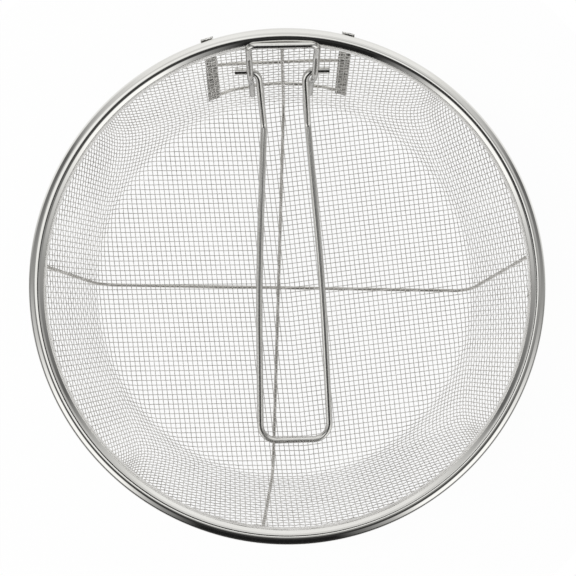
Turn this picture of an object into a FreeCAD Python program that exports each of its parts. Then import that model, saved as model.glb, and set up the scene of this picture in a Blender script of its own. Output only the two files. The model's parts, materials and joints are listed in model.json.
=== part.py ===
import FreeCAD, Part
import math
import os

import Sketcher

from FreeCAD import Placement, Rotation, Vector

# Deep fryer basket: a bowl of woven wire in a rolled rim, two cradle wires under it, and a folding
# wire handle held by a bracket at the back. Millimetres, +Z up, the origin on the floor under the
# middle of the bowl, the handle's bracket at +Y.

DRIVING_SIZES = [
    ("rim_outer_diameter", 240.0, "over the rolled rim"),
    ("rim_height", 70.0, "floor to the top of the rolled rim"),
    ("rim_roll_diameter", 7.0, "outside of the roll"),
    ("rim_sheet", 0.5, "sheet of the rim band"),
    ("rim_lip_drop", 4.4, "inner lip, below the middle of the roll"),
    ("rim_return_turn", 128.0, "degrees that the band wraps under the hoop, from its outermost line"),
    ("hoop_clearance", 0.1, "between the hoop and the inside of the roll"),
    ("seat_clearance", 0.1, "between pieces that seat on each other"),
    ("wall_taper", 15.0, "degrees that the wall leans outwards"),
    ("mesh_thickness", 1.0, "over both layers of woven wire"),
    ("mesh_corner_radius", 10.0, "middle of the cloth, floor to wall"),
    ("mesh_edge_depth", 2.0, "top edge of the cloth, below the middle of the roll"),
    ("wall_gap_columns", 20, "columns of gaps round the wall"),
    ("wall_gap_rows", 3, "rows of gaps up the wall"),
    ("wall_gap_foot", 45.0, "degrees up the corner, where the lowest row of gaps starts"),
    ("floor_gap_pitch", 18.5, "from gap to gap in the floor"),
    ("floor_gap_margin", 1.0, "cloth left between a gap and the corner"),
    ("mesh_bar_width", 2.4, "cloth left between two gaps"),
    ("mesh_bar_thickness", 0.6, "of that cloth, beside its ridges"),
    ("mesh_ridge_width", 1.0, "ridges along the bars, as thick as both layers of wire"),
    ("floor_gap_turn", 7.0, "degrees that the cloth's grid is turned"),
    ("cradle_wire_diameter", 1.8, "the two wires under the bowl"),
    ("cradle_wall_allowance", 0.25, "how far a slanting cradle leg stands off the round wall"),
    ("cradle_long_left_top", 85.6, "degrees to the left of the back, where each cradle leg ends"),
    ("cradle_long_left_foot", 88.9, "and where it starts to climb"),
    ("cradle_long_right_foot", -90.7, "the same, at the right"),
    ("cradle_long_right_top", -82.9, "the same, at the right"),
    ("cradle_cross_front_top", 173.8, "the other wire, at the front"),
    ("cradle_cross_front_foot", 176.2, "the other wire, at the front"),
    ("cradle_cross_back_foot", 0.5, "the other wire, at the back"),
    ("cradle_cross_back_top", 1.7, "the other wire, at the back"),
    ("backing_wire_diameter", 1.6, "the two thin wires behind the bracket"),
    ("backing_lower_depth", 46.2, "middle of the lower backing wire, below the middle of the roll"),
    ("backing_lower_rise", 3.2, "how far the lower wire's ends stand above its middle"),
    ("backing_upper_depth", 25.3, "middle of the upper backing wire, below the middle of the roll"),
    ("backing_upper_rise", 10.6, "how far the upper wire's ends stand above its middle"),
    ("backing_turn", 2.7, "degrees that the backing frame sits to the left of the back"),
    ("backing_half_spread", 18.3, "degrees from the frame's middle to a strip's foot"),
    ("strip_width", 6.0, "flat backing strips"),
    ("strip_thickness", 0.7, "flat backing strips"),
    ("strip_foot_depth", 43.6, "lower end of a strip, below the middle of the roll"),
    ("strip_lean", 6.0, "degrees that a strip leans to the middle"),
    ("strip_bend_depth", 10.0, "where a strip leaves the wall, below the middle of the roll"),
    ("strip_top_rise", 1.5, "upper end of a strip, above the middle of the roll"),
    ("bracket_turn", 1.6, "degrees that the bracket sits to the left of the back"),
    ("bracket_wire_diameter", 3.0, "bracket wire"),
    ("bracket_bar_span", 32.4, "between the middles of the legs at the bar"),
    ("bracket_foot_span", 29.2, "between the middles of the legs at their feet"),
    ("bracket_bar_rise", 2.6, "middle of the bar above the middle of the roll"),
    ("bracket_bar_inset", 5.6, "middle of the bar inside the middle of the roll"),
    ("bracket_corner_radius", 3.5, "bend between the bar and a leg"),
    ("bracket_shoulder_bend", 12.0, "bend where a leg passes the lip"),
    ("bracket_keeper_bend", 6.0, "bend above the stretch that keeps the handle's end"),
    ("bracket_return_bend", 8.0, "bend below that stretch"),
    ("bracket_foot_bend", 20.0, "bend where a leg lands on the wall"),
    ("bracket_lip_allowance", 0.6, "between a leg and the lip where the leg bends away from it"),
    ("bracket_foot_depth", 43.6, "lower end of a leg, below the middle of the roll"),
    ("keeper_length", 5.0, "upright stretch of a leg in front of the handle's end"),
    ("keeper_return_depth", 30.5, "where a leg meets the wall again, below the middle of the roll"),
    ("handle_wire_diameter", 3.4, "handle wire"),
    ("handle_clearance", 0.3, "between the handle and what it turns in or rests on"),
    ("pivot_depth", 17.3, "axis that the handle's ends turn about, below the middle of the roll"),
    ("handle_end_reach", 23.0, "tip of a handle end from the middle of the handle"),
    ("handle_pivot_span", 22.7, "between the strands at the pivot"),
    ("handle_neck_span", 22.3, "between the strands at the crank bend"),
    ("handle_middle_span", 33.0, "between the strands half way down"),
    ("handle_grip_span", 36.6, "between the strands at the grip"),
    ("handle_crank_length", 30.6, "from the pivot to the crank bend"),
    ("handle_crank_slope", 44.7, "degrees that a crank falls from the pivot when folded"),
    ("handle_length", 184.2, "from the pivot to the middle of the grip, in plan"),
    ("handle_pivot_shift", -0.3, "sideways play at the pivot"),
    ("handle_neck_shift", 1.8, "sideways lean at the crank bend"),
    ("handle_grip_shift", 3.0, "sideways lean at the grip"),
    ("handle_pivot_bend", 5.0, "bend from an end into the crank"),
    ("handle_crank_bend", 5.0, "bend between the crank and the long strand"),
    ("handle_strand_bend", 1400.0, "long gentle bow of a strand"),
    ("handle_grip_bend", 8.5, "bends at the grip"),
]

doc = FreeCAD.newDocument("deep_fryer_basket")
sheet = doc.addObject("Spreadsheet::Sheet", "Sizes")
for row, (alias, value, note) in enumerate(DRIVING_SIZES, start=1):
    sheet.set(f"A{row}", alias)
    sheet.set(f"B{row}", str(value))
    sheet.setAlias(f"B{row}", alias)
    sheet.set(f"C{row}", note)
doc.recompute()


def size(alias):
    return float(sheet.get(alias))


# Places worked out from the driving sizes

TAPER = math.radians(size("wall_taper"))
ROLL_RADIUS = size("rim_roll_diameter") / 2
ROLL_REACH = size("rim_outer_diameter") / 2 - ROLL_RADIUS
ROLL_HEIGHT = size("rim_height") - ROLL_RADIUS
SHEET = size("rim_sheet")
SEAT = size("seat_clearance")
CLOTH = size("mesh_thickness")
UPRIGHT = math.pi / 2


def below_roll(alias):
    """Height of a place that the sheet gives as a depth below the middle of the roll."""
    return ROLL_HEIGHT - size(alias)


# The lip leaves the roll where the roll's direction is the wall's
LIP_START_ANGLE = math.pi - TAPER
LIP_START = (
    ROLL_REACH + (ROLL_RADIUS - SHEET / 2) * math.cos(LIP_START_ANGLE),
    ROLL_HEIGHT + (ROLL_RADIUS - SHEET / 2) * math.sin(LIP_START_ANGLE),
)


def wall_radius(height, offset=0.0):
    """Radius of the cloth's middle at a height, moved outwards, square to the wall, by offset."""
    lip = LIP_START[0] - (LIP_START[1] - height) * math.tan(TAPER)
    return lip + (SHEET / 2 + SEAT + CLOTH / 2 + offset) / math.cos(TAPER)


# The floor of the bowl is crowned by the thickness of one cradle wire, so that the other wire
# crosses below it, and both stand on the ground near the corners
CORNER_RADIUS = size("mesh_corner_radius")
CRADLE_RADIUS = size("cradle_wire_diameter") / 2
CRADLE_OFFSET = CLOTH / 2 + SEAT + CRADLE_RADIUS
CROWN = 2 * CRADLE_RADIUS + SEAT
CORNER_HEIGHT = CRADLE_RADIUS + CRADLE_OFFSET + CORNER_RADIUS
CORNER_REACH = wall_radius(CORNER_HEIGHT, -CORNER_RADIUS)
CROWN_DROP = CORNER_RADIUS - CROWN
CROWN_RADIUS = (CORNER_REACH**2 + CROWN_DROP**2 - CORNER_RADIUS**2) / (2 * CROWN)
CROWN_CENTRE = CORNER_HEIGHT - CORNER_RADIUS + CROWN - CROWN_RADIUS
CROWN_ANGLE = math.atan2(CORNER_REACH, CORNER_HEIGHT - CROWN_CENTRE)


def floor_height(radius, offset=0.0):
    """Height of the cloth's middle over the crowned floor, raised by offset."""
    return CROWN_CENTRE + math.sqrt((CROWN_RADIUS + offset) ** 2 - radius**2)


def around(radius, degrees, height):
    """Point at a radius and height, degrees counted from the back, towards the left."""
    turn = math.radians(90 + degrees)
    return Vector(radius * math.cos(turn), radius * math.sin(turn), height)


# Helpers for sketches, bodies and bent wire

def origin_feature(body, role):
    return next(feature for feature in body.Origin.OriginFeatures if feature.Role == role)


def new_body(label):
    body = doc.addObject("PartDesign::Body", label)
    body.Label = label
    return body


def new_sketch(body, name, role):
    sketch = body.newObject("Sketcher::SketchObject", name)
    sketch.AttachmentSupport = [(origin_feature(body, role), "")]
    sketch.MapMode = "FlatFace"
    return sketch


def join_loop(sketch, first, count):
    """Close a run of sketch edges, first to last, into one loop."""
    for index in range(count):
        following = first + (index + 1) % count
        sketch.addConstraint(Sketcher.Constraint("Coincident", first + index, 2, following, 1))


def bind(sketch, constraint, name, expression):
    """Add a named constraint whose value follows the sheet."""
    index = sketch.addConstraint(constraint)
    sketch.renameConstraint(index, name)
    sketch.setExpression(f"Constraints.{name}", expression)


def arc_edge(centre, radius, start, end):
    """Sketch arc whose direction from start to end is kept by Part as counter-clockwise."""
    circle = Part.Circle(Vector(centre[0], centre[1], 0), Vector(0, 0, 1), radius)
    return Part.ArcOfCircle(circle, start, end)


def flat(point):
    return Vector(point[0], point[1], 0)


def line_edge(start, end):
    return Part.LineSegment(flat(start), flat(end))


def revolve(body, sketch, name):
    turned = body.newObject("PartDesign::Revolution", name)
    turned.Profile = sketch
    turned.ReferenceAxis = (sketch, ["V_Axis"])
    turned.Angle = 360
    body.Tip = turned
    return turned


def bent_edges(points, bends):
    """Straight runs through the points, joined by tangent arcs of the given bend radii."""
    edges = []
    start = points[0]
    for before, corner, after, bend in zip(points, points[1:], points[2:], bends):
        incoming = (corner - before).normalize()
        outgoing = (after - corner).normalize()
        half_turn = incoming.getAngle(outgoing) / 2
        setback = bend * math.tan(half_turn)
        arc_start = corner - incoming * setback
        arc_end = corner + outgoing * setback
        to_centre = (outgoing - incoming).normalize()
        arc_middle = corner + to_centre * (bend / math.cos(half_turn) - bend)
        edges.append(Part.LineSegment(start, arc_start).toShape())
        edges.append(Part.Arc(arc_start, arc_middle, arc_end).toShape())
        start = arc_end
    edges.append(Part.LineSegment(start, points[-1]).toShape())
    return edges


def wire_piece(label, edges, diameter_alias, placement=Placement()):
    """Round wire of a sheet diameter, swept along its bent path."""
    path = doc.addObject("Part::Feature", label + "_path")
    path.Shape = Part.Wire(edges)
    first = edges[0]
    start = first.valueAt(first.FirstParameter)
    heading = first.tangentAt(first.FirstParameter)
    section = doc.addObject("Part::Circle", label + "_section")
    section.setExpression("Radius", f"Sizes.{diameter_alias} / 2")
    section.Placement = Placement(start, Rotation(Vector(0, 0, 1), heading))
    piece = doc.addObject("Part::Sweep", label)
    piece.Label = label
    piece.Sections = [section]
    piece.Spine = (path, [f"Edge{index + 1}" for index in range(len(edges))])
    piece.Solid = True
    piece.Placement = placement
    return piece


# Rim band: polished sheet rolled round the hoop, with a lip that hides the cloth's cut edge

rim_channel = new_body("rim_channel")
rim_profile = new_sketch(rim_channel, "rim_profile", "XZ_Plane")
RETURN_ANGLE = -math.radians(size("rim_return_turn"))
LIP_END_HEIGHT = ROLL_HEIGHT - size("rim_lip_drop")


def on_roll(radius, angle):
    return (ROLL_REACH + radius * math.cos(angle), ROLL_HEIGHT + radius * math.sin(angle))


def down_the_lip(point):
    return (point[0] - (point[1] - LIP_END_HEIGHT) * math.tan(TAPER), LIP_END_HEIGHT)


roll_inside = ROLL_RADIUS - SHEET
lip_face = on_roll(ROLL_RADIUS, LIP_START_ANGLE)
lip_back = on_roll(roll_inside, LIP_START_ANGLE)
rim_profile.addGeometry([
    arc_edge((ROLL_REACH, ROLL_HEIGHT), ROLL_RADIUS, RETURN_ANGLE, LIP_START_ANGLE),
    line_edge(lip_face, down_the_lip(lip_face)),
    line_edge(down_the_lip(lip_face), down_the_lip(lip_back)),
    line_edge(down_the_lip(lip_back), lip_back),
    arc_edge((ROLL_REACH, ROLL_HEIGHT), roll_inside, RETURN_ANGLE, LIP_START_ANGLE),
    line_edge(on_roll(roll_inside, RETURN_ANGLE), on_roll(ROLL_RADIUS, RETURN_ANGLE)),
], False)
bind(rim_profile, Sketcher.Constraint("Radius", 0, ROLL_RADIUS), "roll_outside",
     "Sizes.rim_roll_diameter / 2")
bind(rim_profile, Sketcher.Constraint("Radius", 4, roll_inside), "roll_inside",
     "Sizes.rim_roll_diameter / 2 - Sizes.rim_sheet")
bind(rim_profile, Sketcher.Constraint("DistanceX", -1, 1, 0, 3, ROLL_REACH), "roll_reach",
     "(Sizes.rim_outer_diameter - Sizes.rim_roll_diameter) / 2")
bind(rim_profile, Sketcher.Constraint("DistanceY", -1, 1, 0, 3, ROLL_HEIGHT), "roll_height",
     "Sizes.rim_height - Sizes.rim_roll_diameter / 2")
rim_profile.addConstraint(Sketcher.Constraint("Coincident", 0, 3, 4, 3))
revolve(rim_channel, rim_profile, "rim_roll")

# Hoop: the wire inside the roll

rim_hoop_wire = new_body("rim_hoop_wire")
hoop_profile = new_sketch(rim_hoop_wire, "hoop_profile", "XZ_Plane")
hoop_radius = roll_inside - size("hoop_clearance")
hoop_profile.addGeometry(Part.Circle(Vector(ROLL_REACH, ROLL_HEIGHT, 0), Vector(0, 0, 1), hoop_radius))
bind(hoop_profile, Sketcher.Constraint("Radius", 0, hoop_radius), "hoop_radius",
     "Sizes.rim_roll_diameter / 2 - Sizes.rim_sheet - Sizes.hoop_clearance")
bind(hoop_profile, Sketcher.Constraint("DistanceX", -1, 1, 0, 3, ROLL_REACH), "hoop_reach",
     "(Sizes.rim_outer_diameter - Sizes.rim_roll_diameter) / 2")
bind(hoop_profile, Sketcher.Constraint("DistanceY", -1, 1, 0, 3, ROLL_HEIGHT), "hoop_height",
     "Sizes.rim_height - Sizes.rim_roll_diameter / 2")
revolve(rim_hoop_wire, hoop_profile, "hoop_ring")

# Bowl: one sheet of woven wire drawn to a crowned floor, a round corner and a leaning wall, as one
# thin wall with gaps where the light comes through, and ridges that run both ways like the weave

CORNER_CENTRE = (CORNER_REACH, CORNER_HEIGHT)
CLOTH_TOP = ROLL_HEIGHT - size("mesh_edge_depth")
COLUMNS = int(size("wall_gap_columns"))
ROWS = int(size("wall_gap_rows"))
GAP_FOOT = CORNER_HEIGHT - CORNER_RADIUS * math.cos(math.radians(size("wall_gap_foot")))
ROW_HEIGHT = (LIP_END_HEIGHT - GAP_FOOT) / ROWS
PITCH = size("floor_gap_pitch")


def cloth_face(offset, top):
    """Points where one face of the cloth changes from crown to corner to wall, and its arc radii."""
    crown = CROWN_RADIUS + offset
    corner = CORNER_RADIUS - offset
    crown_end = (crown * math.sin(CROWN_ANGLE), CROWN_CENTRE + crown * math.cos(CROWN_ANGLE))
    wall_start = (CORNER_REACH + corner * math.cos(TAPER), CORNER_HEIGHT - corner * math.sin(TAPER))
    wall_end = (wall_radius(top, -offset), top)
    return crown, corner, crown_end, wall_start, wall_end


def draw_cloth(body, name, thickness, top):
    """Shell of the whole bowl at one thickness, up to a height."""
    inner_crown, inner_corner, inner_crown_end, inner_wall, inner_top = cloth_face(thickness / 2, top)
    outer_crown, outer_corner, outer_crown_end, outer_wall, outer_top = cloth_face(-thickness / 2, top)
    inner_pole = (0, CROWN_CENTRE + inner_crown)
    outer_pole = (0, CROWN_CENTRE + outer_crown)
    corner_from = -UPRIGHT - CROWN_ANGLE
    profile = new_sketch(body, name + "_profile", "XZ_Plane")
    profile.addGeometry([
        line_edge(inner_pole, outer_pole),
        arc_edge((0, CROWN_CENTRE), outer_crown, UPRIGHT - CROWN_ANGLE, UPRIGHT),
        arc_edge(CORNER_CENTRE, outer_corner, corner_from, -TAPER),
        line_edge(outer_wall, outer_top),
        line_edge(outer_top, inner_top),
        line_edge(inner_top, inner_wall),
        arc_edge(CORNER_CENTRE, inner_corner, corner_from, -TAPER),
        arc_edge((0, CROWN_CENTRE), inner_crown, UPRIGHT - CROWN_ANGLE, UPRIGHT),
    ], False)
    revolve(body, profile, name)


def cut_wall_gaps(body, name, bar):
    """Rows of gaps round the wall, with bars of one width left between them."""
    sketch = new_sketch(body, name + "_sketch", "XZ_Plane")
    half_column = math.sin(math.pi / COLUMNS)
    for row in range(ROWS):
        low = GAP_FOOT + row * ROW_HEIGHT + bar / 2
        high = low + ROW_HEIGHT - bar
        half_low = wall_radius(low) * half_column - bar / 2
        half_high = wall_radius(high) * half_column - bar / 2
        corners = [(-half_low, low), (half_low, low), (half_high, high), (-half_high, high)]
        sketch.addGeometry([line_edge(a, b) for a, b in zip(corners, corners[1:] + corners[:1])], False)
        join_loop(sketch, 4 * row, 4)
    gaps = body.newObject("PartDesign::Pocket", name)
    gaps.Profile = sketch
    gaps.Type = "ThroughAll"
    body.Tip = gaps
    ring = body.newObject("PartDesign::PolarPattern", name + "_ring")
    ring.Originals = [gaps]
    ring.Axis = (origin_feature(body, "Z_Axis"), [""])
    ring.Angle = 360
    ring.setExpression("Occurrences", "Sizes.wall_gap_columns")
    body.Tip = ring


def floor_gap_centres():
    """Places of the floor's gaps that lie inside the corner, before the cloth's grid is turned."""
    steps = int(CORNER_REACH // PITCH)
    half_side = (PITCH - size("mesh_bar_width")) / 2
    room = CORNER_REACH - size("floor_gap_margin")
    grid = [(across * PITCH, along * PITCH)
            for across in range(-steps, steps + 1) for along in range(-steps, steps + 1)]
    return [Vector(x, y, 0) for x, y in grid if math.hypot(abs(x) + half_side, abs(y) + half_side) <= room]


def cut_floor_gaps(body, name, bar):
    """Grid of square gaps in the floor, with bars of one width left between them."""
    sketch = new_sketch(body, name + "_sketch", "XY_Plane")
    half_side = (PITCH - bar) / 2
    turn = Rotation(Vector(0, 0, 1), size("floor_gap_turn"))
    around_centre = [Vector(x * half_side, y * half_side, 0) for x, y in ((-1, -1), (1, -1), (1, 1), (-1, 1))]
    for index, centre in enumerate(floor_gap_centres()):
        spots = [turn.multVec(centre + spot) for spot in around_centre]
        sketch.addGeometry([Part.LineSegment(a, b) for a, b in zip(spots, spots[1:] + spots[:1])], False)
        join_loop(sketch, 4 * index, 4)
    gaps = body.newObject("PartDesign::Pocket", name)
    gaps.Profile = sketch
    gaps.Type = "ThroughAll"
    gaps.Midplane = True
    body.Tip = gaps


mesh_ridges = new_body("mesh_ridges")
draw_cloth(mesh_ridges, "ridge_cloth", CLOTH, CLOTH_TOP)
cut_wall_gaps(mesh_ridges, "ridge_wall_gaps", size("mesh_ridge_width"))
cut_floor_gaps(mesh_ridges, "ridge_floor_gaps", size("mesh_ridge_width"))

mesh_bowl = new_body("mesh_bowl")
draw_cloth(mesh_bowl, "bar_cloth", size("mesh_bar_thickness"), CLOTH_TOP - size("mesh_bar_width") / 2)
cut_wall_gaps(mesh_bowl, "bar_wall_gaps", size("mesh_bar_width"))
cut_floor_gaps(mesh_bowl, "bar_floor_gaps", size("mesh_bar_width"))
weave = mesh_bowl.newObject("PartDesign::Boolean", "weave")
weave.setObjects([mesh_ridges])
weave.Type = "Fuse"
mesh_bowl.Tip = weave

# Cradle wires: one follows the crowned floor, the other crosses under it, and both climb the wall
# to the underside of the roll. Their legs lean a little, as the real ones were pulled round.

CRADLE_TOP = ROLL_HEIGHT - ROLL_RADIUS - SEAT
leg_offset = CRADLE_OFFSET + size("cradle_wall_allowance")
cradle_bend = CORNER_RADIUS + CRADLE_OFFSET


def cradle_leg_top(alias):
    degrees = size(alias)
    return around(wall_radius(CRADLE_TOP, leg_offset), degrees, CRADLE_TOP)


def low_corner(alias):
    degrees = size(alias)
    return around(wall_radius(CRADLE_RADIUS, leg_offset), degrees, CRADLE_RADIUS)


cradle_wire_long = wire_piece("cradle_wire_long", bent_edges(
    [cradle_leg_top("cradle_long_left_top"), low_corner("cradle_long_left_foot"),
     low_corner("cradle_long_right_foot"), cradle_leg_top("cradle_long_right_top")],
    [cradle_bend, cradle_bend]), "cradle_wire_diameter")

crown_path_radius = CROWN_RADIUS - CRADLE_OFFSET
apex_height = CROWN_CENTRE + crown_path_radius / math.cos(CROWN_ANGLE)
crown_slope = math.tan(CROWN_ANGLE)
slanted = wall_radius(apex_height, leg_offset) / (1 + math.tan(TAPER) * crown_slope)


def crowned_corner(alias):
    degrees = size(alias)
    return around(slanted, degrees, apex_height - slanted * crown_slope)


front_corner = crowned_corner("cradle_cross_front_foot")
back_corner = crowned_corner("cradle_cross_back_foot")
apex = (front_corner + back_corner) * 0.5
apex.z = apex_height
cradle_wire_cross = wire_piece("cradle_wire_cross", bent_edges(
    [cradle_leg_top("cradle_cross_front_top"), front_corner, apex, back_corner,
     cradle_leg_top("cradle_cross_back_top")],
    [cradle_bend, crown_path_radius, cradle_bend]), "cradle_wire_diameter")

# Backing frame behind the bracket: two flat strips outside the mesh, whose tops lie on the outside
# of the roll, and two thin wires between them

STRIP = size("strip_thickness")
STRIP_FOOT = below_roll("strip_foot_depth")
STRIP_BEND = below_roll("strip_bend_depth")
strip_offset = CLOTH / 2 + SEAT + STRIP / 2
strip_foot = (wall_radius(STRIP_FOOT, strip_offset), STRIP_FOOT)
strip_bend = (wall_radius(STRIP_BEND, strip_offset), STRIP_BEND)
strip_outside = ROLL_REACH + ROLL_RADIUS + SEAT + STRIP / 2
strip_turn_up = (strip_outside, ROLL_HEIGHT - ROLL_RADIUS + STRIP)
strip_top = (strip_outside, ROLL_HEIGHT + size("strip_top_rise"))


def strip_edges():
    """Closed outline of the strip's bent section, one thickness wide."""
    middle = [strip_foot, strip_bend, strip_turn_up, strip_top]
    headings = [math.atan2(b[1] - a[1], b[0] - a[0]) for a, b in zip(middle, middle[1:])]
    sides = []
    for sign in (1, -1):
        side = []
        for index, point in enumerate(middle):
            before = headings[max(index - 1, 0)]
            after = headings[min(index, len(headings) - 1)]
            mitre = STRIP / 2 / math.cos((after - before) / 2)
            facing = (before + after) / 2 + sign * UPRIGHT
            side.append((point[0] + mitre * math.cos(facing), point[1] + mitre * math.sin(facing)))
        sides.append(side)
    outline = sides[0] + sides[1][::-1]
    return [line_edge(a, b) for a, b in zip(outline, outline[1:] + outline[:1])]


def strip_placement(side):
    """Foot at its place round the bowl, then leaned towards the middle in the wall's own plane."""
    wall_normal = Vector(math.cos(TAPER), 0, -math.sin(TAPER))
    foot = Vector(strip_foot[0], 0, strip_foot[1])
    lean = Placement(Vector(0, 0, 0), Rotation(wall_normal, side * size("strip_lean")), foot)
    degrees = 90 + size("backing_turn") + side * size("backing_half_spread")
    return Placement(Vector(0, 0, 0), Rotation(Vector(0, 0, 1), degrees)) * lean


def backing_strip(label, side):
    body = new_body(label)
    section = new_sketch(body, label + "_section", "XZ_Plane")
    section.addGeometry(strip_edges(), False)
    join_loop(section, 0, section.GeometryCount)
    pad = body.newObject("PartDesign::Pad", label + "_pad")
    pad.Profile = section
    pad.Midplane = True
    pad.setExpression("Length", "Sizes.strip_width")
    body.Tip = pad
    body.Placement = strip_placement(side)
    return body


backing_strip_left = backing_strip("backing_strip_left", 1)
backing_strip_right = backing_strip("backing_strip_right", -1)

BACKING_RADIUS = size("backing_wire_diameter") / 2


def strip_point(side, height):
    """Middle of a backing wire where it lies on the outside of a leaning strip."""
    past_foot = (height - strip_foot[1]) / math.cos(TAPER) / math.cos(math.radians(size("strip_lean")))
    along = Vector(math.sin(TAPER), 0, math.cos(TAPER)) * past_foot
    out = Vector(math.cos(TAPER), 0, -math.sin(TAPER)) * (STRIP / 2 + SEAT + BACKING_RADIUS)
    upright_strip = Vector(strip_foot[0], 0, strip_foot[1]) + along + out
    return strip_placement(side).multVec(upright_strip)


def backing_wire(label, depth_alias, rise_alias):
    """Arc from strip to strip that passes outside the cradle wire at the middle."""
    middle_height = below_roll(depth_alias)
    end_height = middle_height + size(rise_alias)
    over_cradle = leg_offset + CRADLE_RADIUS + SEAT + BACKING_RADIUS
    middle = around(wall_radius(middle_height, over_cradle), size("backing_turn"), middle_height)
    arc = Part.Arc(strip_point(1, end_height), middle, strip_point(-1, end_height))
    return wire_piece(label, [arc.toShape()], "backing_wire_diameter")


backing_wire_lower = backing_wire("backing_wire_lower", "backing_lower_depth", "backing_lower_rise")
backing_wire_upper = backing_wire("backing_wire_upper", "backing_upper_depth", "backing_upper_rise")

# Bracket: one bent wire. Its bar is welded inside the rim, its legs pass in front of the handle's
# ends and their feet are welded to the wall.

bracket_place = Placement(Vector(0, 0, 0), Rotation(Vector(0, 0, 1), size("bracket_turn")))
BRACKET_RADIUS = size("bracket_wire_diameter") / 2
HANDLE_RADIUS = size("handle_wire_diameter") / 2
PLAY = size("handle_clearance")
PIVOT_HEIGHT = below_roll("pivot_depth")
BAR_HEIGHT = ROLL_HEIGHT + size("bracket_bar_rise")
BAR_REACH = ROLL_REACH - size("bracket_bar_inset")
FOOT_HEIGHT = below_roll("bracket_foot_depth")


def inside_wall(across, height, offset):
    """Distance from the axis to a point that lies offset inside the cloth, across the bracket."""
    return math.sqrt(wall_radius(height, -CLOTH / 2 - offset) ** 2 - across**2)


pivot_reach = inside_wall(size("handle_end_reach"), PIVOT_HEIGHT, HANDLE_RADIUS + PLAY)
keeper_reach = pivot_reach - HANDLE_RADIUS - PLAY - BRACKET_RADIUS
keeper_half = size("keeper_length") / 2
lip_reach = down_the_lip(lip_face)[0] - BRACKET_RADIUS / math.cos(TAPER) - size("bracket_lip_allowance")


def leg_across(height):
    """Half of the distance between the legs, which draw together towards their feet."""
    down = (BAR_HEIGHT - height) / (BAR_HEIGHT - FOOT_HEIGHT)
    return (size("bracket_bar_span") + (size("bracket_foot_span") - size("bracket_bar_span")) * down) / 2


def leg_point(height, reach=None):
    across = leg_across(height)
    if reach is None:
        reach = inside_wall(across, height, BRACKET_RADIUS + SEAT)
    return Vector(across, reach, height)


def mirrored(point):
    return Vector(-point.x, point.y, point.z)


right_leg = [
    leg_point(BAR_HEIGHT, BAR_REACH),
    leg_point(LIP_END_HEIGHT, math.sqrt(lip_reach**2 - leg_across(LIP_END_HEIGHT) ** 2)),
    leg_point(PIVOT_HEIGHT + keeper_half, keeper_reach),
    leg_point(PIVOT_HEIGHT - keeper_half, keeper_reach),
    leg_point(below_roll("keeper_return_depth")),
    leg_point(FOOT_HEIGHT),
]
leg_bends = [size(alias) for alias in (
    "bracket_corner_radius", "bracket_shoulder_bend", "bracket_keeper_bend", "bracket_return_bend",
    "bracket_foot_bend")]
bracket_points = [mirrored(point) for point in reversed(right_leg)] + right_leg
handle_bracket = wire_piece("handle_bracket", bent_edges(
    bracket_points, leg_bends[::-1] + leg_bends), "bracket_wire_diameter", bracket_place)

# Handle: one wire. Its ends turn out behind the bracket's legs, its crank carries it over the bar
# when it is open, and its hairpin grip lies on the floor of the bowl when it is folded.

grip_reach = pivot_reach - size("handle_length")
grip_corner = math.hypot(grip_reach, size("handle_grip_span") / 2 + size("handle_grip_shift"))
GRIP_HEIGHT = floor_height(grip_corner, CLOTH / 2 + PLAY + HANDLE_RADIUS) + PLAY


def crank_end():
    """Crank bend: crank_length from the pivot, with the long strand in line with the grip."""
    slope = math.radians(size("handle_crank_slope"))
    return (pivot_reach - size("handle_crank_length") * math.cos(slope),
            PIVOT_HEIGHT - size("handle_crank_length") * math.sin(slope))


neck_reach, neck_height = crank_end()
half_way = (neck_reach + grip_reach) / 2
half_height = (neck_height + GRIP_HEIGHT) / 2
half_shift = (size("handle_neck_shift") + size("handle_grip_shift")) / 2


def strand(side):
    """Points of one strand, from the tip of its end to its corner of the grip."""
    pivot_x = size("handle_pivot_shift") + side * size("handle_pivot_span") / 2
    neck_x = size("handle_neck_shift") + side * size("handle_neck_span") / 2
    middle_x = half_shift + side * size("handle_middle_span") / 2
    grip_x = size("handle_grip_shift") + side * size("handle_grip_span") / 2
    return [
        Vector(side * size("handle_end_reach"), pivot_reach, PIVOT_HEIGHT),
        Vector(pivot_x, pivot_reach, PIVOT_HEIGHT),
        Vector(neck_x, neck_reach, neck_height),
        Vector(middle_x, half_way, half_height),
        Vector(grip_x, grip_reach, GRIP_HEIGHT),
    ]


strand_bends = [size("handle_pivot_bend"), size("handle_crank_bend"), size("handle_strand_bend"),
                size("handle_grip_bend")]
handle = wire_piece("handle", bent_edges(
    strand(-1) + strand(1)[::-1], strand_bends + strand_bends[::-1]),
    "handle_wire_diameter", bracket_place)

# The pivot and the opening angle, at which the cranks lie on the bracket's bar

to_bar = (BAR_REACH - pivot_reach, BAR_HEIGHT - PIVOT_HEIGHT)
bar_angle = math.atan2(to_bar[1], to_bar[0])
bar_clear = math.asin((HANDLE_RADIUS + BRACKET_RADIUS + PLAY) / math.hypot(*to_bar))
crank_angle = math.atan2(neck_height - PIVOT_HEIGHT, neck_reach - pivot_reach) % (2 * math.pi)
opening = math.degrees(crank_angle - bar_angle - bar_clear)
pivot = bracket_place.multVec(Vector(0, pivot_reach, PIVOT_HEIGHT))
print("pivot", [round(value, 3) for value in pivot], "opening", round(opening, 2), "degrees")

doc.recompute()

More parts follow.
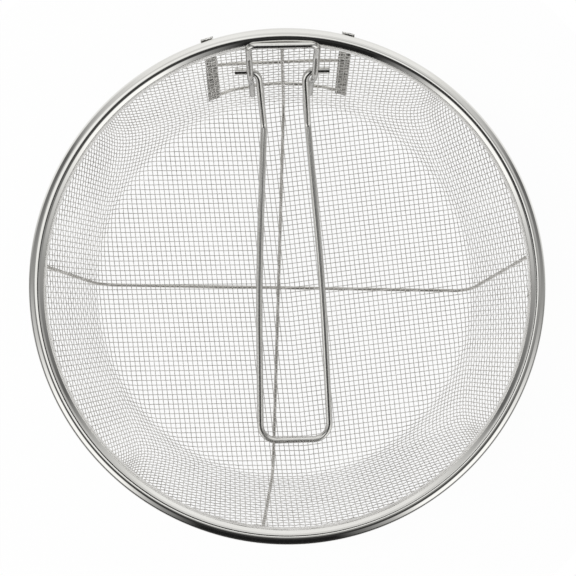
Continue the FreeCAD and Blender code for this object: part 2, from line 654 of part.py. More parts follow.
PIECES = [
    mesh_bowl, rim_channel, rim_hoop_wire, cradle_wire_long, cradle_wire_cross,
    backing_strip_left, backing_strip_right, backing_wire_lower, backing_wire_upper,
    handle_bracket, handle,
]
for item in doc.Objects:
    if "Invalid" in item.State or "Error" in item.State:
        raise RuntimeError(f"{item.Label} did not build: {item.State}")
os.makedirs("parts", exist_ok=True)
for piece in PIECES:
    shape = piece.Shape
    if shape.isNull() or not shape.isValid():
        raise RuntimeError(f"{piece.Label} has no valid shape")
    print(piece.Label, len(shape.Solids), "solid", round(shape.Volume), "mm3")
    shape.exportStep(f"parts/{piece.Label}.step")
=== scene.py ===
import json
import math

import bpy
from mathutils import Matrix, Vector

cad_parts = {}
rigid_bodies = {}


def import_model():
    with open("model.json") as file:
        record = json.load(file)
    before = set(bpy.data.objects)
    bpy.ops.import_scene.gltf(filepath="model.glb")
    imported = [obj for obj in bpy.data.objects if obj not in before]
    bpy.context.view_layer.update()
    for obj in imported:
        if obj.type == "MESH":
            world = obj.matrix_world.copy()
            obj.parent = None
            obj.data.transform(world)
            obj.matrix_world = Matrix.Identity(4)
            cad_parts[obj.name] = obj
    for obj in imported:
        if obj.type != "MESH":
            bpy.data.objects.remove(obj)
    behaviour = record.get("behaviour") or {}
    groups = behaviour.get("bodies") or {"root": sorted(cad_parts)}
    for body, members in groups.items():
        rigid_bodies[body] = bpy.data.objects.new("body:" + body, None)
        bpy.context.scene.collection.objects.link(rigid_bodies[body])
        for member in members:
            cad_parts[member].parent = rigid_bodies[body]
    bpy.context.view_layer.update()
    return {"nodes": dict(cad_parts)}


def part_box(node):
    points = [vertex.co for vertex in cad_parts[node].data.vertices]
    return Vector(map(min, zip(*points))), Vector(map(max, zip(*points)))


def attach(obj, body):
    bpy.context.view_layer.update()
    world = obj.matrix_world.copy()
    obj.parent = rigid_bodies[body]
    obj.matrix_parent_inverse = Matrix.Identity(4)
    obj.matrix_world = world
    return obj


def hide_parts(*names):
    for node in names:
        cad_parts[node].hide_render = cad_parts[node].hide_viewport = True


for leftover in list(bpy.data.objects):
    bpy.data.objects.remove(leftover)
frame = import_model()
bpy.ops.object.select_all(action="DESELECT")

# Woven bowl: round stainless wire, ten meshes to the inch, woven square and then pressed over a
# form. The crossings keep their spacing, so the squares shear into diamonds on the wall between
# the two directions of the weave. The cut ends are held in the rolled rim.

WIRE = 0.00043
MESH = 0.00254
CLOTH = 2 * WIRE
WALL_LEAN = math.radians(15)
CORNER_BEND = 0.010
FLOOR_CROWN = 0.0019

bowl_low, bowl_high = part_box("mesh_bowl")
cloth_top = bowl_high.z
corner_height = bowl_low.z + CLOTH / 2 + CORNER_BEND
wall_foot_height = corner_height - CORNER_BEND * math.sin(WALL_LEAN)
wall_top_reach = bowl_high.x - CLOTH / 2 / math.cos(WALL_LEAN)
wall_foot_reach = wall_top_reach - (cloth_top - wall_foot_height) * math.tan(WALL_LEAN)
corner_reach = wall_foot_reach - CORNER_BEND * math.cos(WALL_LEAN)
corner_drop = CORNER_BEND - FLOOR_CROWN
crown_radius = (corner_reach**2 + corner_drop**2 - CORNER_BEND**2) / (2 * FLOOR_CROWN)
crown_centre = corner_height - corner_drop - crown_radius
crown_angle = math.atan2(corner_reach, corner_height - crown_centre)
floor_run = crown_radius * crown_angle
corner_run = floor_run + CORNER_BEND * (math.pi / 2 - WALL_LEAN + crown_angle)
cloth_run = corner_run + (cloth_top - wall_foot_height) / math.cos(WALL_LEAN)


def bowl_section(run):
    """Reach, height and direction of climb at a run along the cloth from the middle of the floor."""
    if run < floor_run:
        fall = run / crown_radius
        return crown_radius * math.sin(fall), crown_centre + crown_radius * math.cos(fall), -fall
    if run < corner_run:
        climb = (run - floor_run) / CORNER_BEND - crown_angle
        return (corner_reach + CORNER_BEND * math.sin(climb),
                corner_height - CORNER_BEND * math.cos(climb), climb)
    climb = math.pi / 2 - WALL_LEAN
    past = run - corner_run
    return (wall_foot_reach + past * math.cos(climb), wall_foot_height + past * math.sin(climb), climb)


def on_bowl(run, turn, outwards=0.0):
    """Place on the cloth at a run from its middle and a turn, or a little outside it."""
    reach, height, climb = bowl_section(run)
    reach += outwards * math.sin(climb)
    height -= outwards * math.cos(climb)
    return Vector((reach * math.cos(turn), reach * math.sin(turn), height))


CROSSING_TRIES = 30
CLOSE_ENOUGH = 1e-10


def next_crossing(one, other, run, turn):
    """Run and turn of the crossing that lies one mesh away from two neighbours, from a first guess."""
    for attempt in range(CROSSING_TRIES):
        reach, height, climb = bowl_section(max(run, 0.0))
        cosine, sine = math.cos(turn), math.sin(turn)
        here = Vector((reach * cosine, reach * sine, height))
        up_wall = Vector((math.cos(climb) * cosine, math.cos(climb) * sine, math.sin(climb)))
        round_wall = Vector((-reach * sine, reach * cosine, 0.0))
        to_one, to_other = here - one, here - other
        miss_one = (to_one.length_squared - MESH**2) / 2
        miss_other = (to_other.length_squared - MESH**2) / 2
        a, b = to_one.dot(up_wall), to_one.dot(round_wall)
        c, d = to_other.dot(up_wall), to_other.dot(round_wall)
        spread = a * d - b * c
        run_step = (miss_one * d - miss_other * b) / spread
        turn_step = (a * miss_other - c * miss_one) / spread
        largest = max(abs(run_step), abs(turn_step * reach))
        easing = min(1.0, MESH / 2 / largest) if largest > 0 else 1.0
        run -= run_step * easing
        turn -= turn_step * easing
        if largest < CLOSE_ENOUGH:
            break
    return run, turn


# The weave lies turned on the floor, and a little out of square
WEAVE_RIGHT = math.radians(7.5)
WEAVE_BACK = math.radians(96.5)
WEAVE_LEFT = math.radians(180.5)
WEAVE_FRONT = math.radians(276.5)

steps_out = int(cloth_run / MESH) + 1
crossings = {}
for step in range(steps_out + 1):
    crossings[step, 0] = (step * MESH, WEAVE_RIGHT)
    crossings[-step, 0] = (step * MESH, WEAVE_LEFT)
    crossings[0, step] = (step * MESH, WEAVE_BACK)
    crossings[0, -step] = (step * MESH, WEAVE_FRONT)

for side in (1, -1):
    for end in (1, -1):
        for total in range(2, 2 * steps_out + 1):
            for across in range(1, total):
                column, row = side * across, end * (total - across)
                one = crossings.get((column - side, row))
                other = crossings.get((column, row - end))
                before = crossings.get((column - side, row - end))
                if not (one and other and before) or min(one[0], other[0]) > cloth_run:
                    continue
                one_place, other_place, before_place = on_bowl(*one), on_bowl(*other), on_bowl(*before)
                guess = one_place + other_place - before_place
                run_guess = one[0] + other[0] - before[0]
                turn_guess = math.atan2(guess.y, guess.x)
                crossings[column, row] = next_crossing(one_place, other_place, run_guess, turn_guess)


FEWEST_POINTS = 3
SMOOTH_ROD = math.radians(70)


def woven_wire(spots, odd_offset):
    """Points of one wire through its crossings, over one and under the next, cut at the cloth's edge."""
    points = []
    for spot in spots:
        if spot in crossings and crossings[spot][0] <= cloth_run:
            outwards = odd_offset if sum(spot) % 2 else -odd_offset
            points.append(on_bowl(*crossings[spot], outwards))
    return points


def lengthwise(row):
    """The wire that runs side to side through one row of crossings."""
    return woven_wire([(column, row) for column in range(-steps_out, steps_out + 1)], WIRE / 2)


def crosswise(column):
    """The wire that runs front to back through one column of crossings."""
    return woven_wire([(column, row) for row in range(-steps_out, steps_out + 1)], -WIRE / 2)


def wire_cloth(name, wires):
    """One half of the wires of one direction, as thin six-sided rods."""
    cloth_curve = bpy.data.curves.new(name, "CURVE")
    cloth_curve.dimensions = "3D"
    cloth_curve.bevel_depth = WIRE / 2
    cloth_curve.bevel_resolution = 1
    cloth_curve.use_fill_caps = True
    for points in wires:
        if len(points) < FEWEST_POINTS:
            continue
        spline = cloth_curve.splines.new("POLY")
        spline.points.add(len(points) - 1)
        spline.points.foreach_set("co", [value for point in points for value in (*point, 1.0)])
    cloth = bpy.data.objects.new(name, cloth_curve)
    bpy.context.scene.collection.objects.link(cloth)
    bpy.ops.object.select_all(action="DESELECT")
    cloth.select_set(True)
    bpy.context.view_layer.objects.active = cloth
    bpy.ops.object.convert(target="MESH")
    bpy.ops.object.shade_smooth_by_angle(angle=SMOOTH_ROD)
    cloth.select_set(False)
    return cloth


front_half = range(-steps_out + 1, 0)
back_half = range(0, steps_out)
bowl_pieces = [
    wire_cloth("bowl_wires_side_to_side_front", map(lengthwise, front_half)),
    wire_cloth("bowl_wires_side_to_side_back", map(lengthwise, back_half)),
    wire_cloth("bowl_wires_front_to_back_left", map(crosswise, front_half)),
    wire_cloth("bowl_wires_front_to_back_right", map(crosswise, back_half)),
]


CLOUD_DETAIL = 4.0
LINE_DETAIL = 3.0
LINE_SHARE = 0.45
DULLEST_SPOT = 0.32
BRIGHTEST_SPOT = 0.68


def steel_surface_group():
    """Steel as it comes from the wire or sheet mill: cloudy tone, drawn or polished lines, and grain."""
    group = bpy.data.node_groups.new("steel_surface", "ShaderNodeTree")
    interface = group.interface
    interface.new_socket("Place", in_out="INPUT", socket_type="NodeSocketVector")
    interface.new_socket("Lines", in_out="INPUT", socket_type="NodeSocketVector")
    for name in ("Cloud Scale", "Line Scale", "Smoothest", "Roughest"):
        interface.new_socket(name, in_out="INPUT", socket_type="NodeSocketFloat")
    for name in ("Bright", "Dull"):
        interface.new_socket(name, in_out="INPUT", socket_type="NodeSocketColor")
    interface.new_socket("Color", in_out="OUTPUT", socket_type="NodeSocketColor")
    interface.new_socket("Roughness", in_out="OUTPUT", socket_type="NodeSocketFloat")
    interface.new_socket("Height", in_out="OUTPUT", socket_type="NodeSocketFloat")
    nodes, links = group.nodes, group.links
    entry = nodes.new("NodeGroupInput")
    leave = nodes.new("NodeGroupOutput")
    cloud = nodes.new("ShaderNodeTexNoise")
    cloud.inputs["Detail"].default_value = CLOUD_DETAIL
    links.new(entry.outputs["Place"], cloud.inputs["Vector"])
    links.new(entry.outputs["Cloud Scale"], cloud.inputs["Scale"])
    lines = nodes.new("ShaderNodeTexNoise")
    lines.inputs["Detail"].default_value = LINE_DETAIL
    links.new(entry.outputs["Lines"], lines.inputs["Vector"])
    links.new(entry.outputs["Line Scale"], lines.inputs["Scale"])
    both = nodes.new("ShaderNodeMix")
    both.inputs["Factor"].default_value = LINE_SHARE
    links.new(cloud.outputs["Fac"], both.inputs["A"])
    links.new(lines.outputs["Fac"], both.inputs["B"])
    contrast = nodes.new("ShaderNodeMapRange")
    contrast.inputs["From Min"].default_value = DULLEST_SPOT
    contrast.inputs["From Max"].default_value = BRIGHTEST_SPOT
    links.new(both.outputs["Result"], contrast.inputs["Value"])
    tone = nodes.new("ShaderNodeMix")
    tone.data_type = "RGBA"
    links.new(contrast.outputs["Result"], tone.inputs["Factor"])
    links.new(entry.outputs["Dull"], tone.inputs["A"])
    links.new(entry.outputs["Bright"], tone.inputs["B"])
    links.new(tone.outputs["Result"], leave.inputs["Color"])
    rough = nodes.new("ShaderNodeMapRange")
    links.new(contrast.outputs["Result"], rough.inputs["Value"])
    links.new(entry.outputs["Roughest"], rough.inputs["To Min"])
    links.new(entry.outputs["Smoothest"], rough.inputs["To Max"])
    links.new(rough.outputs["Result"], leave.inputs["Roughness"])
    links.new(lines.outputs["Fac"], leave.inputs["Height"])
    return group


steel_surface = steel_surface_group()
EVEN = (1.0, 1.0, 1.0)


def steel(name, bright, dull, smoothest, roughest, cloud_scale, line_scale, line_depth, line_stretch=EVEN):
    """Material of one steel piece. The lines run along the axis whose stretch is the smallest."""
    material = bpy.data.materials.new(name)
    material.use_nodes = True
    nodes, links = material.node_tree.nodes, material.node_tree.links
    shader = nodes["Principled BSDF"]
    shader.inputs["Metallic"].default_value = 1.0
    place = nodes.new("ShaderNodeTexCoord")
    mapping = nodes.new("ShaderNodeMapping")
    mapping.inputs["Scale"].default_value = line_stretch
    links.new(place.outputs["Object"], mapping.inputs["Vector"])
    surface = nodes.new("ShaderNodeGroup")
    surface.node_tree = steel_surface
    surface.inputs["Cloud Scale"].default_value = cloud_scale
    surface.inputs["Line Scale"].default_value = line_scale
    surface.inputs["Smoothest"].default_value = smoothest
    surface.inputs["Roughest"].default_value = roughest
    surface.inputs["Bright"].default_value = (*bright, 1.0)
    surface.inputs["Dull"].default_value = (*dull, 1.0)
    links.new(place.outputs["Object"], surface.inputs["Place"])
    links.new(mapping.outputs["Vector"], surface.inputs["Lines"])
    bump = nodes.new("ShaderNodeBump")
    bump.inputs["Distance"].default_value = line_depth
    links.new(surface.outputs["Height"], bump.inputs["Height"])
    links.new(surface.outputs["Color"], shader.inputs["Base Color"])
    links.new(surface.outputs["Roughness"], shader.inputs["Roughness"])
    links.new(bump.outputs["Normal"], shader.inputs["Normal"])
    return material


bowl_steel = steel("woven_wire_steel", bright=(0.86, 0.85, 0.83), dull=(0.66, 0.645, 0.62),
                   smoothest=0.26, roughest=0.44, cloud_scale=60.0, line_scale=900.0, line_depth=0.00002)
for cloth in bowl_pieces:
    cloth.data.materials.clear()
    cloth.data.materials.append(bowl_steel)
    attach(cloth, "basket")
    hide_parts("mesh_bowl")

# Rim: a band of polished sheet rolled round a hoop of thick wire, so that its two edges clamp the
# edge of the cloth between them. The polish runs round the ring.

RIM_ROLL = 0.0040
RIM_SHEET = 0.00035
OUTER_EDGE_TURN = math.radians(-128)
INNER_EDGE_TURN = math.radians(206)
ROLL_STEPS = 72
RIM_STEPS = 320
SAME_PLACE = 0.00001
SMOOTH_SHEET = math.radians(40)
POLISH_STRETCH = 0.004

rim_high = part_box("rim_channel")[1]
roll_reach = rim_high.x - RIM_ROLL
roll_height = rim_high.z - RIM_ROLL
mid_sheet = RIM_ROLL - RIM_SHEET / 2

# The sheet's outer edge is one side of a square as wide as the sheet is thick
bpy.ops.mesh.primitive_plane_add(
    size=RIM_SHEET, calc_uvs=False, rotation=(0, -OUTER_EDGE_TURN, 0),
    location=(roll_reach + mid_sheet * math.cos(OUTER_EDGE_TURN), RIM_SHEET / 2,
              roll_height + mid_sheet * math.sin(OUTER_EDGE_TURN)))
rim = bpy.context.active_object
rim.name = rim.data.name = "rolled_rim"
bpy.ops.object.transform_apply(location=True, rotation=True, scale=True)
bpy.ops.object.mode_set(mode="EDIT")
bpy.ops.mesh.select_mode(type="VERT")
bpy.ops.mesh.select_all(action="DESELECT")
bpy.ops.object.mode_set(mode="OBJECT")
for vertex in rim.data.vertices:
    vertex.select = vertex.co.y > RIM_SHEET / 2
bpy.ops.object.mode_set(mode="EDIT")
bpy.ops.mesh.delete(type="VERT")

# It is rolled round into the band's section, and the outline of that section goes round the basket
bpy.ops.mesh.select_all(action="SELECT")
bpy.ops.mesh.spin(steps=ROLL_STEPS, angle=INNER_EDGE_TURN - OUTER_EDGE_TURN,
                  center=(roll_reach, 0, roll_height), axis=(0, 1, 0))
bpy.ops.mesh.select_mode(type="EDGE")
bpy.ops.mesh.select_all(action="SELECT")
bpy.ops.mesh.region_to_loop()
bpy.ops.mesh.select_all(action="INVERT")
bpy.ops.mesh.delete(type="EDGE")
bpy.ops.mesh.select_all(action="SELECT")
bpy.ops.mesh.spin(steps=RIM_STEPS, angle=2 * math.pi, center=(0, 0, 0), axis=(0, 0, 1))
bpy.ops.mesh.select_all(action="SELECT")
bpy.ops.mesh.remove_doubles(threshold=SAME_PLACE)
bpy.ops.mesh.normals_make_consistent(inside=False)
bpy.ops.object.mode_set(mode="OBJECT")
bpy.ops.object.shade_smooth_by_angle(angle=SMOOTH_SHEET)
rim.select_set(False)


def round_the_ring(material):
    """Turn a material's lines round the basket's axis: reach and height stay, the turn is stretched."""
    nodes, links = material.node_tree.nodes, material.node_tree.links
    place = nodes.new("ShaderNodeTexCoord")
    split = nodes.new("ShaderNodeSeparateXYZ")
    links.new(place.outputs["Object"], split.inputs["Vector"])
    flat = nodes.new("ShaderNodeCombineXYZ")
    links.new(split.outputs["X"], flat.inputs["X"])
    links.new(split.outputs["Y"], flat.inputs["Y"])
    reach = nodes.new("ShaderNodeVectorMath")
    reach.operation = "LENGTH"
    links.new(flat.outputs["Vector"], reach.inputs[0])
    turn = nodes.new("ShaderNodeMath")
    turn.operation = "ARCTAN2"
    links.new(split.outputs["Y"], turn.inputs[0])
    links.new(split.outputs["X"], turn.inputs[1])
    slow_turn = nodes.new("ShaderNodeMath")
    slow_turn.operation = "MULTIPLY"
    slow_turn.inputs[1].default_value = POLISH_STRETCH
    links.new(turn.outputs["Value"], slow_turn.inputs[0])
    along = nodes.new("ShaderNodeCombineXYZ")
    links.new(reach.outputs["Value"], along.inputs["X"])
    links.new(split.outputs["Z"], along.inputs["Y"])
    links.new(slow_turn.outputs["Value"], along.inputs["Z"])
    surface = next(node for node in nodes if node.type == "GROUP")
    links.new(along.outputs["Vector"], surface.inputs["Lines"])


rim_steel = steel("polished_rim_steel", bright=(0.86, 0.855, 0.84), dull=(0.76, 0.75, 0.73),
                  smoothest=0.05, roughest=0.11, cloud_scale=30.0, line_scale=400.0, line_depth=0.000004)
round_the_ring(rim_steel)
rim.data.materials.append(rim_steel)
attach(rim, "basket")
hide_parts("rim_channel")

# Hoop: a ring of plain thick wire inside the roll. It stiffens the mouth of the bowl, and the rim
# band is rolled round it, so only its edge shows from below.


def dress(node, material):
    """Give a carried-over node its finish."""
    mesh = frame["nodes"][node].data
    mesh.materials.clear()
    mesh.materials.append(material)


hoop_steel = steel("hoop_wire_steel", bright=(0.58, 0.575, 0.56), dull=(0.45, 0.44, 0.42),
                   smoothest=0.22, roughest=0.34, cloud_scale=40.0, line_scale=500.0, line_depth=0.00001)
round_the_ring(hoop_steel)
dress("rim_hoop_wire", hoop_steel)

# Cradle: two drawn wires that cross under the floor and climb the wall to the rim, spot-welded to
# the cloth where they touch it.

cradle_steel = steel("cradle_wire_steel", bright=(0.70, 0.69, 0.67), dull=(0.50, 0.485, 0.46),
                     smoothest=0.16, roughest=0.28, cloud_scale=45.0, line_scale=700.0, line_depth=0.00001)
dress("cradle_wire_long", cradle_steel)
dress("cradle_wire_cross", cradle_steel)

# Backing frame: two flat strips and two thin wires outside the cloth, which spread the pull of the
# handle. The strips carry a painted speckle of glints and shade, bright and near black, up to where
# the cloth ends, and a plain tone above it.

PAINTED_SPECKLE_FADE = 0.002
PLAIN_STRIP = (0.93, 0.92, 0.90, 1.0)

# Painted glints and painted shade: bright and near-black speckle in the strips' colour, faded out above the
# cloth
strip_steel = steel("backing_strip_steel", bright=(0.98, 0.97, 0.94), dull=(0.06, 0.055, 0.05),
                    smoothest=0.08, roughest=0.30, cloud_scale=560.0, line_scale=640.0, line_depth=0.0011)
nodes, links = strip_steel.node_tree.nodes, strip_steel.node_tree.links
place = nodes.new("ShaderNodeTexCoord")
split = nodes.new("ShaderNodeSeparateXYZ")
links.new(place.outputs["Object"], split.inputs["Vector"])
above_cloth = nodes.new("ShaderNodeMapRange")
above_cloth.inputs["From Min"].default_value = cloth_top - PAINTED_SPECKLE_FADE
above_cloth.inputs["From Max"].default_value = cloth_top
links.new(split.outputs["Z"], above_cloth.inputs["Value"])
strip_colour = nodes["Principled BSDF"].inputs["Base Color"]
plain_top = nodes.new("ShaderNodeMix")
plain_top.data_type = "RGBA"
plain_top.inputs["B"].default_value = PLAIN_STRIP
links.new(above_cloth.outputs["Result"], plain_top.inputs["Factor"])
links.new(strip_colour.links[0].from_socket, plain_top.inputs["A"])
links.new(plain_top.outputs["Result"], strip_colour)
dress("backing_strip_left", strip_steel)
dress("backing_strip_right", strip_steel)

backing_steel = steel("backing_wire_steel", bright=(0.68, 0.67, 0.64), dull=(0.48, 0.465, 0.43),
                      smoothest=0.18, roughest=0.30, cloud_scale=60.0, line_scale=700.0, line_depth=0.00001)
dress("backing_wire_lower", backing_steel)
dress("backing_wire_upper", backing_steel)

# Bracket: one bent wire, its bar welded to the rim and its feet to the wall, with the handle's ends
# turning behind its legs. Its drawn lines run up the legs.

# Painted shade: the dark colour that a wire's edges are mixed towards
SHADED_CLOTH = (0.05, 0.048, 0.045, 1.0)
SHADE_START = 0.30
SHADE_FULL = 0.75
SHADE_SHARE = 0.62


def darken_edges(material):
    """Paint shade into a wire's colour where it turns away from the eye: a painted reflection of the shaded
    cloth beside it.
    """
    nodes, links = material.node_tree.nodes, material.node_tree.links
    wire_colour = nodes["Principled BSDF"].inputs["Base Color"]
    facing = nodes.new("ShaderNodeLayerWeight")
    edge = nodes.new("ShaderNodeMapRange")
    edge.inputs["From Min"].default_value = SHADE_START
    edge.inputs["From Max"].default_value = SHADE_FULL
    edge.inputs["To Max"].default_value = SHADE_SHARE
    links.new(facing.outputs["Facing"], edge.inputs["Value"])
    shaded = nodes.new("ShaderNodeMix")
    shaded.data_type = "RGBA"
    shaded.inputs["B"].default_value = SHADED_CLOTH
    links.new(edge.outputs["Result"], shaded.inputs["Factor"])
    links.new(wire_colour.links[0].from_socket, shaded.inputs["A"])
    links.new(shaded.outputs["Result"], wire_colour)


bracket_steel = steel("bracket_wire_steel", bright=(0.84, 0.835, 0.82), dull=(0.68, 0.67, 0.65),
                      smoothest=0.12, roughest=0.22, cloud_scale=40.0, line_scale=600.0,
                      line_depth=0.00001, line_stretch=(1.0, 1.0, 0.05))
# Painted shade on the bracket's edges
darken_edges(bracket_steel)
dress("handle_bracket", bracket_steel)

# Handle: one thick wire bent to a long hairpin and cranked near its ends, which turn behind the
# bracket's legs. It has a polished drawn surface, with its lines along the strands.

handle_steel = steel("handle_wire_steel", bright=(0.84, 0.835, 0.82), dull=(0.68, 0.67, 0.65),
                     smoothest=0.11, roughest=0.20, cloud_scale=35.0, line_scale=600.0,
                     line_depth=0.00001, line_stretch=(1.0, 0.05, 1.0))
# Painted shade on the handle's edges
darken_edges(handle_steel)
dress("handle", handle_steel)

# Table: a small round table of plain white paint that the basket stands on. Looked at or mirrored
# it is nearly as white as the backdrop, and it keeps the basket's shadow.

TABLE_RADIUS = 0.21
TABLE_GLOW = 0.94

bpy.ops.mesh.primitive_circle_add(vertices=96, radius=TABLE_RADIUS, fill_type="NGON", location=(0, 0, 0))
table = bpy.context.active_object
table.name = "table"
table_paint = bpy.data.materials.new("table_paint")
table_paint.use_nodes = True
nodes, links = table_paint.node_tree.nodes, table_paint.node_tree.links
paint = nodes["Principled BSDF"]
paint.inputs["Base Color"].default_value = (0.86, 0.86, 0.85, 1.0)
paint.inputs["Roughness"].default_value = 0.7
glow = nodes.new("ShaderNodeEmission")
glow.inputs["Color"].default_value = (1.0, 1.0, 1.0, 1.0)
light_path = nodes.new("ShaderNodeLightPath")
looked_at = nodes.new("ShaderNodeMath")
looked_at.operation = "MAXIMUM"
links.new(light_path.outputs["Is Camera Ray"], looked_at.inputs[0])
links.new(light_path.outputs["Is Glossy Ray"], looked_at.inputs[1])
seen = nodes.new("ShaderNodeMath")
seen.operation = "MULTIPLY"
seen.inputs[1].default_value = TABLE_GLOW
links.new(looked_at.outputs["Value"], seen.inputs[0])
blend_paint = nodes.new("ShaderNodeMixShader")
links.new(seen.outputs["Value"], blend_paint.inputs["Fac"])
links.new(paint.outputs["BSDF"], blend_paint.inputs[1])
links.new(glow.outputs["Emission"], blend_paint.inputs[2])
links.new(blend_paint.outputs["Shader"], nodes["Material Output"].inputs["Surface"])
table.data.materials.append(table_paint)

# Room: a pale room that only the steel mirrors, bright at the back, with two windows beside a dark
# front, a dark front ceiling, and a darker crown with a lamp in it. The backdrop itself is white.

ROOM_TURN = math.radians(3)
FILL_STRENGTH = 0.7
WHITE = (1.0, 1.0, 1.0, 1.0)
CROWN_TONE = (0.30, 0.30, 0.29, 1.0)
LAMP_TONE = (1.05, 1.05, 1.03, 1.0)
LAMP_DIRECTION = (-0.17, 0.10, 0.98)
LAMP_EDGE = (0.20, 0.32)
FLOOR_LINE = (-0.15, 0.05)
CEILING_LINE = (0.68, 0.82)
CROWN_LINE = (0.93, 0.98)

room = bpy.data.worlds.new("pale_room")
bpy.context.scene.world = room
room.use_nodes = True
nodes, links = room.node_tree.nodes, room.node_tree.links
nodes.clear()
room_out = nodes.new("ShaderNodeOutputWorld")
direction = nodes.new("ShaderNodeTexCoord")
parts = nodes.new("ShaderNodeSeparateXYZ")
links.new(direction.outputs["Generated"], parts.inputs["Vector"])


def ramp_over(value, stops):
    """Grey tones laid over a value that runs from 0 to 1."""
    ramp = nodes.new("ShaderNodeValToRGB")
    for position, tone in stops[1:-1]:
        ramp.color_ramp.elements.new(position)
    for element, (position, tone) in zip(ramp.color_ramp.elements, stops):
        element.position = position
        element.color = (tone, tone, 0.98 * tone, 1.0)
    links.new(value, ramp.inputs["Fac"])
    return ramp.outputs["Color"]


def one_tone(colour):
    """A plain tone that the changes below can take in."""
    plain = nodes.new("ShaderNodeRGB")
    plain.outputs["Color"].default_value = colour
    return plain.outputs["Color"]


def change_over(lower, upper, value, line):
    """The lower tone below a soft line and the upper one above it, from the line's start to its end."""
    blend = nodes.new("ShaderNodeMapRange")
    blend.interpolation_type = "SMOOTHSTEP"
    blend.inputs["From Min"].default_value, blend.inputs["From Max"].default_value = line
    links.new(value, blend.inputs["Value"])
    mixed = nodes.new("ShaderNodeMix")
    mixed.data_type = "RGBA"
    links.new(blend.outputs["Result"], mixed.inputs["Factor"])
    links.new(lower, mixed.inputs["A"])
    links.new(upper, mixed.inputs["B"])
    return mixed.outputs["Result"]


# Towards the back, from 0 in front to 1 behind, whatever the height
level = nodes.new("ShaderNodeCombineXYZ")
links.new(parts.outputs["X"], level.inputs["X"])
links.new(parts.outputs["Y"], level.inputs["Y"])
turned = nodes.new("ShaderNodeVectorRotate")
turned.rotation_type = "Z_AXIS"
turned.inputs["Angle"].default_value = ROOM_TURN
links.new(level.outputs["Vector"], turned.inputs["Vector"])
heading = nodes.new("ShaderNodeVectorMath")
heading.operation = "NORMALIZE"
links.new(turned.outputs["Vector"], heading.inputs[0])
backwards = nodes.new("ShaderNodeSeparateXYZ")
links.new(heading.outputs["Vector"], backwards.inputs["Vector"])
to_back = nodes.new("ShaderNodeMapRange")
to_back.inputs["From Min"].default_value = -1.0
links.new(backwards.outputs["Y"], to_back.inputs["Value"])

# Stops of tone from the front, at 0, over the sides, at 0.5, to the back
walls = ramp_over(to_back.outputs["Result"], [
    (0.02, 0.012), (0.06, 0.45), (0.10, 1.2), (0.26, 1.2), (0.37, 0.75), (0.50, 0.38),
    (0.63, 0.22), (0.75, 0.13), (0.85, 0.60), (0.93, 0.98)])
ceiling = ramp_over(to_back.outputs["Result"], [
    (0.0, 0.03), (0.30, 0.08), (0.50, 0.32), (0.75, 0.55), (1.0, 0.80)])
ground = ramp_over(to_back.outputs["Result"], [
    (0.03, 0.04), (0.12, 0.20), (0.50, 0.26), (0.68, 0.95), (1.0, 0.90)])
lamp_distance = nodes.new("ShaderNodeVectorMath")
lamp_distance.operation = "DISTANCE"
links.new(direction.outputs["Generated"], lamp_distance.inputs[0])
lamp_distance.inputs[1].default_value = LAMP_DIRECTION
height = parts.outputs["Z"]
room_tone = change_over(ground, walls, height, FLOOR_LINE)
room_tone = change_over(room_tone, ceiling, height, CEILING_LINE)
room_tone = change_over(room_tone, one_tone(CROWN_TONE), height, CROWN_LINE)
room_tone = change_over(one_tone(LAMP_TONE), room_tone, lamp_distance.outputs["Value"], LAMP_EDGE)
light_path = nodes.new("ShaderNodeLightPath")
mirrored = nodes.new("ShaderNodeMath")
mirrored.operation = "MAXIMUM"
links.new(light_path.outputs["Is Glossy Ray"], mirrored.inputs[0])
links.new(light_path.outputs["Is Transmission Ray"], mirrored.inputs[1])
fill_light = nodes.new("ShaderNodeBackground")
fill_light.inputs["Color"].default_value = WHITE
fill_light.inputs["Strength"].default_value = FILL_STRENGTH
reflected = nodes.new("ShaderNodeBackground")
links.new(room_tone, reflected.inputs["Color"])
backdrop = nodes.new("ShaderNodeBackground")
backdrop.inputs["Color"].default_value = WHITE
room_mix = nodes.new("ShaderNodeMixShader")
links.new(mirrored.outputs["Value"], room_mix.inputs["Fac"])
links.new(fill_light.outputs["Background"], room_mix.inputs[1])
links.new(reflected.outputs["Background"], room_mix.inputs[2])
camera_mix = nodes.new("ShaderNodeMixShader")
links.new(light_path.outputs["Is Camera Ray"], camera_mix.inputs["Fac"])
links.new(room_mix.outputs["Shader"], camera_mix.inputs[1])
links.new(backdrop.outputs["Background"], camera_mix.inputs[2])
links.new(camera_mix.outputs["Shader"], room_out.inputs["Surface"])

# Lamp: one long soft panel above the basket, to the left, which gives the cloth its modelling. The
# steel mirrors the lamp that is drawn in the room, and not this panel.

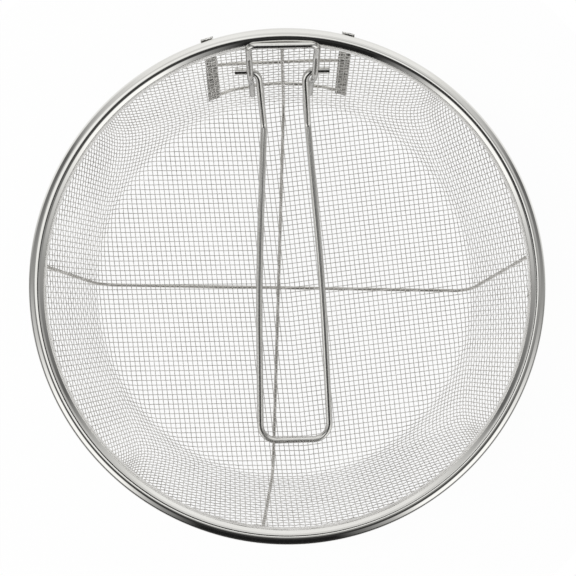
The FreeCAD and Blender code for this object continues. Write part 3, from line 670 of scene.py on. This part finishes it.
LAMP_HEIGHT = 1.5
LAMP_LEFT = -1.08
LAMP_RIGHT = -0.27
LAMP_DEPTH = 0.75
LAMP_POWER = 11.0

lamp_data = bpy.data.lights.new("overhead_lamp", "AREA")
lamp_data.shape = "RECTANGLE"
lamp_data.size = LAMP_RIGHT - LAMP_LEFT
lamp_data.size_y = LAMP_DEPTH
lamp_data.energy = LAMP_POWER
lamp = bpy.data.objects.new("overhead_lamp", lamp_data)
lamp.location = ((LAMP_LEFT + LAMP_RIGHT) / 2, 0.0, LAMP_HEIGHT)
lamp.visible_glossy = False
bpy.context.scene.collection.objects.link(lamp)

# Camera: it stands nearly straight above the bowl. A dark disc just behind it takes the place of
# its body, which shows only as the dark line along the crest of the rim.

CAMERA_PLACE = Vector((-0.01466, -0.01451, 0.50291))
CAMERA_AIM = Vector((-0.00072, -0.00174, 0.069))
SENSOR_WIDTH = 36.0
FOCAL_LENGTH = 58.86
CLIP_START = 0.01
BODY_PLACE = (-0.015, -0.015, 0.53)
BODY_RADIUS = 0.062

bpy.ops.mesh.primitive_circle_add(vertices=48, radius=BODY_RADIUS, fill_type="NGON", location=BODY_PLACE)
camera_body = bpy.context.active_object
camera_body.name = "camera_body"
camera_body.visible_camera = False
camera_body.visible_diffuse = False
camera_body.visible_shadow = False
black_case = bpy.data.materials.new("black_camera_case")
black_case.use_nodes = True
case = black_case.node_tree.nodes["Principled BSDF"]
case.inputs["Base Color"].default_value = (0.012, 0.012, 0.012, 1.0)
case.inputs["Roughness"].default_value = 0.8
camera_body.data.materials.append(black_case)

camera_data = bpy.data.cameras.new("camera")
camera_data.sensor_width = SENSOR_WIDTH
camera_data.lens = FOCAL_LENGTH
camera_data.clip_start = CLIP_START
camera = bpy.data.objects.new("camera", camera_data)
camera.location = CAMERA_PLACE
look = (CAMERA_AIM - CAMERA_PLACE).normalized()
across = look.cross(Vector((0, 1, 0))).normalized()
upwards = across.cross(look)
camera.rotation_euler = Matrix((across, upwards, -look)).transposed().to_euler()
bpy.context.scene.collection.objects.link(camera)
bpy.context.scene.camera = camera
bpy.context.scene.view_settings.view_transform = "Standard"
